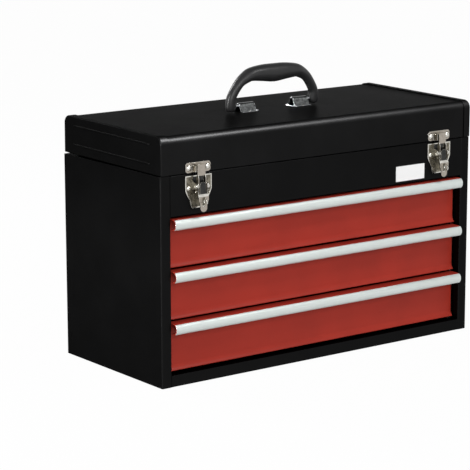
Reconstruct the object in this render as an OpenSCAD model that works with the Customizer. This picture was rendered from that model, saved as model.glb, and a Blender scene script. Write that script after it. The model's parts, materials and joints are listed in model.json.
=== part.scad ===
// Portable steel tool box with a hinged lid over a top compartment, three drawers on
// ball slides, two over-centre draw latches and a folding carrying handle.
// The origin is the middle of the underside, +X is to the right seen from the front,
// +Y is to the back and +Z is up. All sizes are in millimetres.

/* [Cabinet] */
// Width of the cabinet
body_w = 510; // [460:5:560]
// Depth of the cabinet
body_d = 220; // [206:2:260]
// Height of the cabinet under its lid
body_h = 268.5; // [258:0.5:300]
// Thickness of the sheet steel
sheet = 1; // [0.8:0.1:1.2]
// Width of the frame beside the drawers
frame_w = 14.5; // [14:0.5:20]
// Height of the rail under the drawers
rail_h = 15; // [12:1:18]
// Height of the plain panel above the drawers
panel_h = 52.5; // [48:0.5:60]
// Width of the turned-in edge round the top
rim_w = 10; // [6:1:12]
// Width of the turned edges inside the sheet metal
hem_w = 12; // [8:1:12]

/* [Lid] */
// Gap between the cabinet and the lid
lid_gap = 2.5; // [2.5:0.1:4]
// How much lower the closed lid stands at its front than at its back
lid_drop = 1.6; // [1:0.1:2]
// Distance of the lid's back from the cabinet's back
lid_inset = 2; // [1:0.5:3]
// Height of the lid
lid_h = 47.8; // [42:0.2:60]
// Radius of the rolled front and back edges
lid_roll = 9.5; // [8:0.5:18]
// Width of the end cap's band over the skin
cap_band = 11; // [8:1:16]
// Thickness of the end cap's band
cap_t = 1.2; // [0.8:0.1:1.4]
// How far the pressed ribs stand out of the end caps
rib_out = 1.2; // [0.6:0.1:1.4]
// Height of a pressed rib
rib_h = 3; // [2.8:0.1:5]
// Height of the two ribs above the lid's lower edge
rib_z = [12.5, 37]; // [5:0.5:38]
// Plain end face before and behind a rib
rib_inset = 25; // [20:1:40]

/* [Drawers] */
// Clear height between two drawer fronts
drawer_gap = 2; // [1.5:0.5:4]
// Clear gap beside a drawer front
side_gap = 2.6; // [1:0.1:3]
// How far the drawer faces lie behind the front
recess = 12; // [9:1:14]
// Height of the flared lower edge of a drawer face
flare_h = 9; // [6:1:12]
// How far the flared edge stands out of the face
flare_out = 4; // [2:0.5:6]
// Radius of the rolled pull
pull_r = 7; // [6:0.5:8]
// Distance from the drawer face to the middle of the roll
pull_out = 12.4; // [9.5:0.1:13]
// Angle that the roll curls under, past its foremost line
curl_angle = 112; // [90:1:120]
// Thickness of the bright trim strip
trim_t = 0.75; // [0.6:0.05:1]
// Angle that the trim strip covers above and below its middle
trim_angle = 58; // [40:1:65]
// Height of the drawer tray's walls
tray_h = 50; // [44:1:52]
// Depth of the drawer tray
tray_d = 190; // [170:1:192]
// Height of the tray's floor over the lower edge of its front
tray_lift = 2; // [1.5:0.5:4]

/* [Slides] */
// Height of a slide
slide_h = 27; // [25:1:30]
// Thickness of a slide
slide_t = 10; // [10:0.5:11]
// Length of a slide
slide_len = 186; // [160:2:188]
// Thickness of a slide's steel
slide_sheet = 1.1; // [1:0.1:1.2]
// Radius of a slide ball
ball_r = 1.95; // [1.8:0.05:2]
// Running clearance of a ball
ball_play = 0.05; // [0.03:0.01:0.1]
// Balls in one row of a cage
ball_count = 4; // [3:1:5]
// Distance between two balls
ball_pitch = 11; // [9:0.5:12]
// Height of a slide's middle over the lower edge of the drawer front
slide_lift = 30; // [24:1:32]
// Width of a post that carries the slides
post_w = 20; // [16:1:26]
// Distance of the posts' middles from the cabinet's middle
post_y = 82; // [60:1:86]

/* [Hinge] */
// Length of the piano hinge
hinge_len = 460; // [340:10:480]
// Number of knuckles on the hinge
knuckles = 23; // [11:2:29]
// Outer radius of the knuckles
knuckle_r = 2.5; // [2.3:0.1:3]
// Radius of the hinge pin
pin_r = 1.25; // [1:0.05:1.4]
// Running clearance round a pin
pin_play = 0.05; // [0.03:0.01:0.08]
// Height of a hinge leaf
leaf_h = 18; // [14:1:22]

/* [Handle] */
// Distance from the middle to a foot of the handle
foot_x = 68.5; // [64:0.5:80]
// How far the handle stands in front of the lid's middle
handle_front = 2; // [0:0.5:4]
// Angle that the handle leans to the front at rest
handle_lean = 3; // [0:1:6]
// Height of the handle's pivot above the lid
pivot_h = 8.2; // [8:0.2:10]
// Rise of the grip's middle above the pivot
grip_rise = 40; // [36:1:48]
// Half thickness of the grip's belly
belly_r = 12.2; // [10:0.2:13]
// Radius of the handle's steel pins
handle_pin_r = 2.5; // [2:0.1:3]
// Inner end of a handle bracket
bracket_x = 32; // [26:1:34]
// Length of a handle bracket
bracket_len = 25; // [20:1:26]
// Half depth of a handle bracket's base
bracket_y = 11; // [10:0.5:14]
// Half depth of a handle bracket's saddle where it meets its base
saddle_y = 7.4; // [6.5:0.1:8]
// Thickness of the bracket's steel
bracket_t = 1.3; // [1:0.1:1.5]

/* [Latches] */
// Distance from the middle to a latch
latch_x = 199; // [150:1:215]
// Thickness of a latch's sheet
latch_t = 1.2; // [1:0.1:1.3]
// Half width of the latch plate
plate_w = 20; // [18:0.5:24]
// Distance from the cabinet's top to the latch plate's lower end
plate_drop = 43.5; // [42:0.5:46]
// Distance from the cabinet's top down to the lever's pivot
lever_drop = 15; // [14:0.5:16]
// Distance of the lever's pivot from the cabinet's front
lever_out = 8.4; // [8.2:0.1:9]
// Distance from the lever's pivot down to the claw's pin
crank = 7; // [6.5:0.1:7.5]
// How far the claw's pin lies behind the lever's pivot
over_centre = 0.8; // [0.5:0.1:1]
// Half width of the claw
claw_w = 5.9; // [5.5:0.1:6.2]
// Half width of the keeper's plate
keeper_w = 19; // [18:0.5:22]
// Height of the keeper's plate
keeper_h = 13; // [12:0.5:15]
// Height of the keeper's lip above the lid's lower edge
lip_h = 9.2; // [9:0.1:10]
// Half width of the keeper's pocket at the lip
pocket_w = 7; // [6.8:0.1:8]
// Radius of the keeper's dome rivets
keeper_rivet_r = 4.3; // [3:0.1:4.5]
// How far the lever's lower half stands out of its upper half
lever_step = 1.5; // [1:0.1:1.6]
// How deep the claw's tip reaches behind the keeper's lip
hook_depth = 1.5; // [1.2:0.1:1.8]
// Radius of the padlock hole in the staple
staple_bore = 2.6; // [2.4:0.1:2.8]
// Radius of the dome rivets
rivet_r = 3.2; // [2.5:0.1:3.5]

/* [Hidden] */
$fn = 64;

drawers = 3;
seam = 0.5;                              // gap between the ends of two turned edges
half_w = body_w / 2;
half_d = body_d / 2;
inner_x = half_w - sheet;                // inner face of a side panel
inner_y = half_d - sheet;                // inner face of the front and back panels
opening_x = half_w - frame_w;            // half width of the drawer opening
opening_top = body_h - panel_h;
floor_z = opening_top + sheet;           // underside of the top compartment's floor

// Drawers: the fronts fill the opening evenly
top_gap = 1;
bottom_gap = 3.1;
pitch = (opening_top - top_gap - rail_h - bottom_gap + drawer_gap) / drawers;
front_h = pitch - drawer_gap;
front_x = opening_x - side_gap;
face_y = -half_d + recess;               // front surface of a drawer face
pull_y = face_y - pull_out;              // middle of the rolled pull
pull_drop = pull_r + 1;                  // from a front's top edge to that middle
trim_seat = 0.05;                        // the strip's fit over the roll

// Slides: the channels hang on the posts, the rails on the trays
slide_x = opening_x - 1;                 // face that the channels lie on
tray_x = slide_x - slide_t;              // outer face of a tray wall
slide_y = face_y + sheet + 2;            // front end of the slides
ball_u = slide_t / 2 + 0.5;              // ball's place across the slide
race_r = ball_r + ball_play;             // radius of a raceway
ball_v = slide_h / 2 - slide_sheet - race_r + 0.05;
cage_len = ball_pitch * ball_count + 6;
cage_t = 0.6;
race_end = 20;                           // a raceway ends this far from a ball's middle plane

// Lid: sizes in a section across it
lid_z = body_h + lid_gap;                // lower edge of the lid
lid_top = lid_z + lid_h;
lid_back = half_d - lid_inset;           // outer face of the lid's back
roll_z = lid_top - lid_roll;
roll_ys = [-half_d + lid_roll, lid_back - lid_roll];
cap_seat = 0.05;                         // the caps' fit over the skin

// Hinge: the pin lies behind the back panel, halfway up the gap
hinge_y = half_d + knuckle_r;
hinge_z = body_h + lid_gap / 2;
knuckle_len = hinge_len / knuckles;
knuckle_gap = 0.2;
leaf_t = 1;
lid_reach = hinge_y + half_d;            // from the hinge pin to the lid's front
lid_tilt = asin(lid_drop / lid_reach);

// Handle: heights above the lid
pivot_z = lid_top + pivot_h;
barrel_r = handle_pin_r + pin_play + bracket_t;
pin_inset = 4;                           // from a bracket's inner end to its pin

// Latches: a section across the latch, y to the back and z up
plate_t = 1;
plate_y = -half_d - plate_t;             // front surface of a latch plate
lever_y = -half_d - lever_out;
lever_z = body_h - lever_drop;
claw_y = lever_y + over_centre;
claw_z = lever_z - crank;
lever_face = lever_y - 3;                // front surface of the lever
tab_w = 4.5;                             // half width of the lever's middle tab
cheek_x = claw_w + 0.4;                  // inner face of a lever cheek
ear_x = cheek_x + latch_t + 0.4;         // inner face of an ear on the plate
lever_w = cheek_x + latch_t;
lever_pin_r = 1.25;
claw_pin_r = 1.2;
lip_t = 1;
lip_y = plate_y - 5.2;                   // front surface of the keeper's lip
lip_top = lid_z + lip_h - lid_drop * (hinge_y - lip_y) / lid_reach;
claw_face = lip_y - 1 - latch_t;         // front surface of the claw
hook_z = lip_top + 0.3;                  // underside of the claw's hook
tip_y = plate_y - 0.8;                   // back surface of the claw's tip
staple_y = lever_y - 7.6;
staple_z = lever_z - 19.3;
staple_r = staple_bore + 1.6;
staple_t = 1.6;

// ---- helpers ----

// Copies its children to both sides of the middle
module both_sides() {
    children();
    mirror([1, 0, 0]) children();
}

// Extrudes a section drawn in (y, z) from x0 to x1
module along_x(x0, x1) {
    translate([x0, 0, 0]) rotate([90, 0, 90]) linear_extrude(x1 - x0) children();
}

// Extrudes a section drawn in (x, z) from y0 to y1
module along_y(y0, y1) {
    translate([0, y1, 0]) rotate([90, 0, 0]) linear_extrude(y1 - y0) children();
}

// Box from its lowest to its highest corner
module block(low, high) {
    translate(low) cube(high - low);
}

// Flat rectangle from its lowest to its highest corner
module patch(low, high) {
    translate(low) square(high - low);
}

// Part of a flat ring, from angle a to angle b, less than half a turn
module ring_part(inner, outer, a, b) {
    reach = outer * 3;
    middle = (a + b) / 2;
    intersection() {
        difference() {
            circle(outer);
            circle(inner);
        }
        polygon([[0, 0], reach * [cos(a), sin(a)], reach * [cos(middle), sin(middle)],
                 reach * [cos(b), sin(b)]]);
    }
}

// ---- cabinet ----

// Side panel: one sheet bent round the front, with a turned-in top edge
module side_panel() {
    linear_extrude(body_h) {
        patch([inner_x, -half_d], [half_w, half_d]);
        patch([opening_x, -half_d], [half_w, -inner_y]);
    }
    block([opening_x, -half_d, sheet], [opening_x + sheet, -half_d + hem_w, opening_top]);
    block([half_w - rim_w, -half_d + hem_w, body_h - sheet],
          [inner_x + sheet / 2, half_d - hem_w, body_h]);
}

module side_panel_right() {
    color("#1b1b1c") side_panel();
}

module side_panel_left() {
    color("#1b1b1c") mirror([1, 0, 0]) side_panel();
}

// Back panel between the sides, with a turned-in top edge and welding flanges
module back_panel() {
    color("#1b1b1c") {
        block([-inner_x, inner_y, 0], [inner_x, half_d, body_h]);
        block([-inner_x, half_d - rim_w, body_h - sheet], [inner_x, inner_y + sheet / 2, body_h]);
        both_sides()
            block([inner_x - sheet, half_d - hem_w, hem_w + seam],
                  [inner_x, inner_y + sheet / 2, floor_z - hem_w - seam]);
    }
}

// Bottom pan with its front rail, which is the sill under the lowest drawer
module bottom_pan() {
    color("#1b1b1c") {
        block([-inner_x, -inner_y, 0], [inner_x, inner_y, sheet]);
        block([-opening_x, -half_d, 0], [opening_x, -inner_y, rail_h]);
        block([-opening_x, -half_d, rail_h - sheet],
              [opening_x, -half_d + recess - flare_out - 2, rail_h]);
        both_sides()
            block([inner_x - sheet, -inner_y + seam, 0], [inner_x, inner_y, hem_w]);
    }
}

// Plain panel above the drawers, with both edges turned in
module front_panel() {
    color("#1b1b1c") {
        block([-opening_x, -half_d, opening_top], [opening_x, -inner_y, body_h]);
        block([-opening_x, -half_d, opening_top],
              [opening_x, -half_d + hem_w - 3, opening_top + sheet]);
        block([-opening_x, -half_d, body_h - sheet], [opening_x, -half_d + rim_w, body_h]);
    }
}

// Floor of the top compartment, held by flanges on the side panels
module compartment_floor() {
    color("#1b1b1c") {
        block([-inner_x, -inner_y, floor_z], [inner_x, inner_y, floor_z + sheet]);
        both_sides()
            block([inner_x - sheet, -half_d + hem_w + seam, floor_z - hem_w],
                  [inner_x, inner_y, floor_z + sheet / 2]);
    }
}

// Four hat-shaped posts that carry the slide channels
module slide_posts() {
    foot = half_d - hem_w - seam - post_y - post_w / 2;
    low = hem_w + seam;
    high = floor_z - hem_w - seam;
    color("#26272a") both_sides()
        for (y = [-post_y, post_y])
            translate([0, y, low]) linear_extrude(high - low) {
                patch([slide_x, -post_w / 2], [slide_x + sheet, post_w / 2]);
                for (s = [0, 1]) mirror([0, s]) {
                    patch([slide_x, post_w / 2 - sheet], [inner_x, post_w / 2]);
                    patch([inner_x - sheet, post_w / 2 - sheet], [inner_x, post_w / 2 + foot]);
                }
            }
}

// ---- slides ----

function drawer_z(i) = rail_h + bottom_gap + (i - 1) * pitch;
function slide_z(i) = drawer_z(i) + slide_lift;

// Section of the outer channel, u from the post to the drawer
module channel_section() {
    patch([0, -slide_h / 2], [slide_sheet, slide_h / 2]);
    for (s = [0, 1]) mirror([0, s]) {
        patch([0, ball_v + race_r], [ball_u, ball_v + race_r + slide_sheet]);
        translate([ball_u, ball_v]) ring_part(race_r, race_r + slide_sheet, race_end, 90);
    }
}

// Section of the inner rail, which closes the channel on the drawer's side
module rail_section() {
    low = ball_v - race_r - slide_sheet;
    patch([slide_t - slide_sheet, -low - slide_sheet], [slide_t, low + slide_sheet]);
    for (s = [0, 1]) mirror([0, s]) {
        patch([ball_u, low], [slide_t, low + slide_sheet]);
        translate([ball_u, ball_v])
            ring_part(race_r, race_r + slide_sheet, 180 + race_end, 270);
    }
}

// Puts a section on the right-hand slide of drawer i, and its mirror image on the left
module on_slides(i, y0, y1) {
    both_sides()
        translate([slide_x, 0, slide_z(i)]) mirror([1, 0, 0]) along_y(y0, y1) children();
}

module slide_channels() {
    color("#b9bcc0") for (i = [1 : drawers])
        on_slides(i, slide_y, slide_y + slide_len) channel_section();
}

module slide_rails(i) {
    color("#b9bcc0") on_slides(i, slide_y, slide_y + slide_len) rail_section();
}

// Places of the balls of one row along the slide; the cage sits where both members
// still hold it when the drawer is out
cage_y = slide_y + slide_len / 2 - 2;
ball_rows = [for (k = [0 : ball_count - 1]) cage_y + (k - (ball_count - 1) / 2) * ball_pitch];

module ball_cages(i) {
    wing = ball_v + 0.15;
    color("#8d9094") difference() {
        on_slides(i, cage_y - cage_len / 2, cage_y + cage_len / 2) {
            patch([slide_sheet + 0.3, -wing], [slide_sheet + 0.3 + cage_t, wing]);
            for (s = [0, 1]) mirror([0, s])
                patch([slide_sheet + 0.3, wing - cage_t], [ball_u + race_r - 0.3, wing]);
        }
        both_sides() for (y = ball_rows, s = [-1, 1])
            translate([slide_x - ball_u, y, slide_z(i) + s * ball_v])
                cylinder(r = race_r, h = 2 * race_r, center = true);
    }
}

module slide_balls(i) {
    color("#d9dadc") both_sides() for (y = ball_rows, s = [-1, 1])
        translate([slide_x - ball_u, y, slide_z(i) + s * ball_v]) sphere(ball_r);
}

// ---- drawers ----

module drawer_tray(i) {
    low = drawer_z(i) + tray_lift;
    y0 = face_y + sheet;
    color("#232427") difference() {
        block([-tray_x, y0, low], [tray_x, y0 + tray_d, low + tray_h]);
        block([-tray_x + sheet, y0 + sheet, low + sheet],
              [tray_x - sheet, y0 + tray_d - sheet, low + tray_h + 1]);
    }
}

// Drawer face with its lower edge curved out to the front and the pull rolled from the
// same sheet
module drawer_front(i) {
    low = drawer_z(i);
    high = low + front_h;
    flare_drop = flare_h - sheet;
    flare_r = (flare_drop * flare_drop + flare_out * flare_out) / (2 * flare_out);
    color("#a0322a") along_x(-front_x, front_x) {
        patch([face_y, low + flare_h], [face_y + sheet, high - pull_drop + pull_r]);
        translate([face_y - flare_r, low + flare_h])
            ring_part(flare_r, flare_r + sheet, -asin(flare_drop / flare_r), 0);
        patch([pull_y, high - pull_drop + pull_r - sheet],
              [face_y + sheet, high - pull_drop + pull_r]);
        translate([pull_y, high - pull_drop]) {
            ring_part(pull_r - sheet, pull_r, 90, 180);
            ring_part(pull_r - sheet, pull_r, 180, 180 + curl_angle);
        }
    }
}

// Bright strip that clips over the rolled pull
module drawer_trim(i) {
    inner = pull_r + trim_seat;
    color("#dfe3e0") along_x(-front_x, front_x)
        translate([pull_y, drawer_z(i) + front_h - pull_drop])
            ring_part(inner, inner + trim_t, 180 - trim_angle, 180 + trim_angle);
}

// ---- lid ----

// Turns what is drawn for a level lid about the hinge, down to the closed lid's place
module on_lid() {
    translate([0, hinge_y, hinge_z]) rotate([lid_tilt, 0, 0])
        translate([0, -hinge_y, -hinge_z]) children();
}

// Filled outline of the lid across its width, grown by g
module lid_outline(g) {
    patch([roll_ys[0], lid_z], [roll_ys[1], lid_top + g]);
    patch([-half_d - g, lid_z], [lid_back + g, roll_z]);
    for (y = roll_ys) translate([y, roll_z]) circle(lid_roll + g);
}

// Lid skin: one sheet rolled over the front and back, with hemmed lower edges
module lid_skin() {
    color("#222324") on_lid() along_x(-inner_x, inner_x) difference() {
        lid_outline(0);
        difference() {
            lid_outline(-sheet);
            patch([-half_d, lid_z - 1], [-half_d + rim_w, lid_z + sheet]);
            patch([lid_back - rim_w, lid_z - 1], [lid_back, lid_z + sheet]);
        }
    }
}

// End cap: end plate with two pressed ribs, and a band round the skin
module lid_cap() {
    edge = (cap_t + cap_seat);
    rib_r = (rib_out * rib_out + rib_h * rib_h / 4) / (2 * rib_out);
    along_x(inner_x, half_w) lid_outline(edge);
    along_x(half_w - cap_band, half_w) difference() {
        lid_outline(edge);
        lid_outline(cap_seat);
        patch([-half_d, lid_z - 1], [lid_back, lid_z + 1]);
    }
    block([half_w - rim_w, -half_d + rim_w + seam, lid_z],
          [inner_x + sheet / 2, lid_back - rim_w - seam, lid_z + sheet]);
    intersection() {
        for (z = rib_z) translate([half_w + rib_out - rib_r, 0, lid_z + z]) {
            along_y(-half_d + rib_inset, half_d - rib_inset) circle(rib_r);
            for (s = [-1, 1]) translate([0, s * (half_d - rib_inset), 0]) sphere(rib_r);
        }
        block([inner_x + sheet / 2, -half_d, lid_z], [half_w + 2 * rib_out, half_d, lid_top]);
    }
}

module lid_cap_right() {
    color("#1b1b1c") on_lid() lid_cap();
}

module lid_cap_left() {
    color("#1b1b1c") mirror([1, 0, 0]) on_lid() lid_cap();
}

// ---- hinge ----

// Knuckle k of the piano hinge, joined to its leaf by web, drawn about the pin
module knuckle(k) {
    x0 = -hinge_len / 2 + k * knuckle_len + knuckle_gap / 2;
    along_x(x0, x0 + knuckle_len - knuckle_gap) difference() {
        union() {
            translate([hinge_y, hinge_z]) circle(knuckle_r);
            children();
        }
        translate([hinge_y, hinge_z]) circle(pin_r + pin_play);
    }
}

module hinge_body_leaf() {
    web_top = hinge_z;
    color("#55575a") {
        block([-hinge_len / 2, half_d, hinge_z - leaf_h],
              [hinge_len / 2, half_d + leaf_t, body_h - knuckle_r / 2 - 0.6]);
        for (k = [0 : 2 : knuckles - 1])
            knuckle(k) patch([half_d, hinge_z - leaf_h], [half_d + leaf_t, web_top]);
    }
}

module hinge_lid_leaf() {
    web_top = hinge_z + knuckle_r;
    color("#55575a") on_lid() {
        block([-hinge_len / 2, lid_back, lid_z + knuckle_r / 2 + 0.6],
              [hinge_len / 2, lid_back + leaf_t, hinge_z + leaf_h]);
        for (k = [1 : 2 : knuckles - 2]) knuckle(k) {
            patch([lid_back, web_top - leaf_t], [hinge_y, web_top]);
            patch([lid_back, web_top - leaf_t], [lid_back + leaf_t, hinge_z + leaf_h]);
        }
    }
}

// Hinge pin with its ends peened over
module hinge_pin() {
    end = 1.2;
    color("#9b9ea2") translate([-hinge_len / 2, hinge_y, hinge_z]) rotate([0, 90, 0]) {
        cylinder(r = pin_r, h = hinge_len);
        for (z = [-end, hinge_len]) translate([0, 0, z]) cylinder(r = pin_r + 0.6, h = end);
    }
}

// ---- handle ----

// Half of the grip's middle line from the foot to the top: across, up from the pivot,
// half thickness and half depth
grip_line = [
    [foot_x, -pivot_h + 1.2, 2.6, 2.4],
    [foot_x, -pivot_h + 1.9, 4.8, 4.2],
    [foot_x, -pivot_h + 4, 7, 5.8],
    [foot_x, 0, 7.8, 6.3],
    [foot_x - 0.3, grip_rise * 0.26, 6.8, 6.2],
    [foot_x - 4.9, grip_rise * 0.49, 6.5, 6.4],
    [foot_x - 13.1, grip_rise * 0.76, 6.7, 7.2],
    [foot_x - 22.6, grip_rise * 0.92, 7.9, 8.6],
    [foot_x - 32.4, grip_rise * 1.01, 9.1, 10],
    [foot_x - 50.5, grip_rise * 1.02, belly_r - 1.1, 11],
    [0, grip_rise, belly_r, 11.4]
];

// A line of points mirrored to the other foot
function mirrored(line) = concat(line, [for (k = [len(line) - 2 : -1 : 0])
    [-line[k][0], line[k][1], line[k][2], line[k][3]]]);

// Smooth curve through the points at parameter t
function at(line, t) =
    let (n = len(line), k = min(floor(t), n - 2), f = t - k,
         a = line[max(k - 1, 0)], b = line[k], c = line[k + 1], d = line[min(k + 2, n - 1)])
    0.5 * ((2 * b) + (c - a) * f + (2 * a - 5 * b + 4 * c - d) * f * f
           + (3 * b - a - 3 * c + d) * f * f * f);

// One ring of the grip: an ellipse square to the middle line
function grip_ring(p, q, sides) =
    let (along = q - p, size = norm([along[0], along[1]]),
         out = [along[1], -along[0]] / size)
    [for (s = [0 : sides - 1]) let (a = 360 * s / sides)
        [p[0] + out[0] * p[2] * cos(a), p[3] * sin(a), p[1] + out[1] * p[2] * cos(a)]];

module grip_form() {
    line = mirrored(grip_line);
    sides = 24;
    steps = 3 * (len(line) - 1);
    rings = [for (k = [0 : steps]) let (t = k * (len(line) - 1) / steps)
        grip_ring(at(line, t), at(line, t) + (at(line, min(t + 0.02, len(line) - 1))
                  - at(line, max(t - 0.02, 0))), sides)];
    points = [for (r = rings) each r];
    walls = [for (k = [0 : steps - 1], s = [0 : sides - 1]) let (n = (s + 1) % sides)
        each [[k * sides + s, k * sides + n, (k + 1) * sides + n],
              [k * sides + s, (k + 1) * sides + n, (k + 1) * sides + s]]];
    ends = [[for (s = [sides - 1 : -1 : 0]) s], [for (s = [0 : sides - 1]) steps * sides + s]];
    polyhedron(points, concat(walls, ends));
}

// Turns what is drawn for an upright handle at the origin to its place on the lid
module on_pivot() {
    on_lid() translate([0, -handle_front, pivot_z]) rotate([handle_lean, 0, 0]) children();
}

// Moulded grip with a blind bore for a pin in each foot
module handle_grip() {
    color("#202021") on_pivot() difference() {
        grip_form();
        both_sides() rotate([0, 90, 0]) cylinder(r = handle_pin_r, h = foot_x + 2);
    }
}

module handle_pins() {
    color("#a4a7aa") on_pivot() both_sides()
        translate([bracket_x + pin_inset, 0, 0]) rotate([0, 90, 0])
            cylinder(r = handle_pin_r, h = foot_x + 2 - bracket_x - pin_inset);
}

// Place, seen from the middle of a circle of radius r, where a line from p touches it
function touch(r, p) = let (a = atan2(p[1], p[0]) - acos(r / norm(p))) r * [cos(a), sin(a)];

// Section of a saddle drawn about the pin: round at the top, with a crease where its
// sides leave the round, down to half depth y
module saddle_outline(r, y, base) {
    low = bracket_t - pivot_h;
    t = 0.9 * touch(r, [-y, low]);
    circle(r);
    polygon([[-y, base], [-y, low], t, [-t[0], t[1]], [y, low], [y, base]]);
}

// Stamped saddle that closes round the pin, on two flanges, with a toe at its inner end
module handle_brackets() {
    color("#c9cccf") on_lid() translate([0, -handle_front, pivot_z]) both_sides() {
        along_x(bracket_x, bracket_x + bracket_len) difference() {
            union() {
                saddle_outline(barrel_r, saddle_y, -pivot_h);
                patch([-bracket_y, -pivot_h], [bracket_y, bracket_t - pivot_h]);
            }
            saddle_outline(handle_pin_r + pin_play, saddle_y - 1.6 * bracket_t, -pivot_h - 1);
        }
        block([bracket_x - 4, -saddle_y, -pivot_h],
              [bracket_x + bracket_t / 2, saddle_y, bracket_t - pivot_h]);
    }
}

// ---- latches ----

// Domed rivet head of radius r standing on the origin, towards the front
module rivet(r) {
    rise = r * 0.6;
    ball = (r * r + rise * rise) / (2 * rise);
    rotate([90, 0, 0]) intersection() {
        translate([0, 0, rise - ball]) sphere(ball);
        cylinder(r = r, h = rise + 1);
    }
}

// Right half of the latch plate's outline, drawn in (x, z) and drawn in by i
function plate_half(i) = [
    [plate_w - i, body_h - 2.5 - i], [plate_w - i, body_h - 21],
    [plate_w * 0.87 - i, body_h - 27], [plate_w * 0.66 - i, body_h - 33.5],
    [plate_w * 0.57 - i, body_h - plate_drop + 1.5], [plate_w * 0.5 - i, body_h - plate_drop + i]
];

module plate_outline(i) {
    half = plate_half(i);
    polygon(concat(half, [for (k = [len(half) - 1 : -1 : 0]) [-half[k][0], half[k][1]]]));
}

// Body side of the latch: plate with a raised rim and two ears
module latch_plate() {
    ear_r = 3.2;
    along_y(plate_y, -half_d) plate_outline(0);
    along_y(plate_y - 0.7, -half_d - plate_t / 2) difference() {
        plate_outline(0);
        plate_outline(1.4);
    }
    both_sides() along_x(ear_x, ear_x + latch_t) difference() {
        union() {
            polygon([[plate_y + plate_t / 2, lever_z + 6], [lever_y, lever_z + ear_r],
                     [lever_y, lever_z - ear_r], [plate_y + plate_t / 2, lever_z - 5.5]]);
            translate([lever_y, lever_z]) circle(ear_r);
        }
        translate([lever_y, lever_z]) circle(lever_pin_r + pin_play);
    }
}

module at_latches() {
    both_sides() translate([latch_x, 0, 0]) children();
}

module latch_plates() {
    color("#b4b3ac") at_latches() latch_plate();
}

// Staple that stands through the lever's slot and takes a padlock
module padlock_staples() {
    root = 5;
    color("#c4c3bd") at_latches() along_x(-staple_t / 2, staple_t / 2) difference() {
        union() {
            polygon([[plate_y, staple_z + root], [staple_y, staple_z + staple_r],
                     [staple_y, staple_z - staple_r], [plate_y, staple_z - root]]);
            translate([staple_y, staple_z]) circle(staple_r);
        }
        translate([staple_y, staple_z]) circle(staple_bore);
    }
}

// Riveted stubs that carry the levers in the ears
module latch_pivots() {
    color("#d2d1cb") at_latches() both_sides() translate([0, lever_y, lever_z])
        rotate([0, 90, 0]) {
            translate([0, 0, cheek_x]) cylinder(r = lever_pin_r, h = ear_x + latch_t - cheek_x);
            translate([0, 0, ear_x + latch_t]) cylinder(r = 2.2, h = 0.9);
        }
}

// Rivets that hold the latch plates
module body_rivets() {
    color("#d2d1cb") at_latches() both_sides()
        translate([15, plate_y, body_h - 18]) rivet(rivet_r);
}

// Rectangle with rounded corners, x either side of the middle and from z0 to z1
module rounded(x, z0, z1, r) {
    patch([-x + r, z0], [x - r, z1]);
    patch([-x, z0 + r], [x, z1 - r]);
    for (s = [-1, 1], z = [z0 + r, z1 - r]) translate([s * (x - r), z]) circle(r);
}

// Outline of the keeper's pocket from above, its walls drawn in by i
module pocket_outline(i) {
    back = pocket_w + 2.6 - i;
    polygon([[-back, plate_y + plate_t / 2], [-pocket_w + i, lip_y + i],
             [pocket_w - i, lip_y + i], [back, plate_y + plate_t / 2]]);
}

// Lid side of the latch: a plate with a pressed pocket, whose front is the lip for the claw
module latch_keepers() {
    color("#b4b3ac") on_lid() at_latches() {
        along_y(plate_y, -half_d) rounded(keeper_w, lid_z, lid_z + keeper_h, 4);
        translate([0, 0, lid_z + 1]) {
            linear_extrude(lip_t) pocket_outline(0);
            linear_extrude(lip_h - 1) difference() {
                pocket_outline(0);
                pocket_outline(lip_t);
            }
        }
    }
}

// Lever between two cheeks: the tab of its upper half stands in the claw's window, and
// its lower half steps out and has a slot for the staple
module latch_lever() {
    slot_w = 2.4;
    slot_low = lever_z - 23.5;
    slot_high = lever_z - 16;
    waist = claw_z - 3.3;                // the face is whole below this height
    step_low = waist - 3;
    low_face = lever_face - lever_step;
    tip_r = 5;
    tip_z = lever_z - 27.5;
    along_y(lever_face, lever_face + latch_t) {
        translate([0, lever_z + 0.5]) circle(tab_w);
        patch([-tab_w, waist - 0.5], [tab_w, lever_z + 0.5]);
    }
    along_x(-lever_w, lever_w)
        polygon([[lever_face, waist], [lever_face + latch_t, waist],
                 [low_face + latch_t, step_low], [low_face, step_low]]);
    along_y(low_face, low_face + latch_t) difference() {
        union() {
            polygon([[-lever_w, step_low], [-lever_w, lever_z - 17.5], [-tip_r, tip_z + 4],
                     [-tip_r, tip_z], [tip_r, tip_z], [tip_r, tip_z + 4],
                     [lever_w, lever_z - 17.5], [lever_w, step_low]]);
            translate([0, tip_z]) circle(tip_r);
        }
        patch([-slot_w, slot_low], [slot_w, slot_high]);
        for (z = [slot_low, slot_high]) translate([0, z]) circle(slot_w);
    }
    both_sides() along_x(cheek_x, lever_w) difference() {
        union() {
            polygon([[low_face, lever_z - 18], [low_face, step_low], [lever_face, waist],
                     [lever_face, lever_z + 2.6], [lever_y, lever_z + 3.7],
                     [lever_y + 3.7, lever_z], [claw_y + 3, claw_z], [claw_y, claw_z - 3],
                     [low_face + latch_t, lever_z - 18]]);
            translate([lever_y, lever_z]) circle(3.7);
            translate([claw_y, claw_z]) circle(3);
        }
        translate([lever_y, lever_z]) circle(lever_pin_r + pin_play);
        translate([claw_y, claw_z]) circle(claw_pin_r);
    }
}

// Pin on which the claw swings in the lever
module claw_pin() {
    translate([-lever_w, claw_y, claw_z]) rotate([0, 90, 0])
        cylinder(r = claw_pin_r, h = 2 * lever_w);
}

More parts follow.
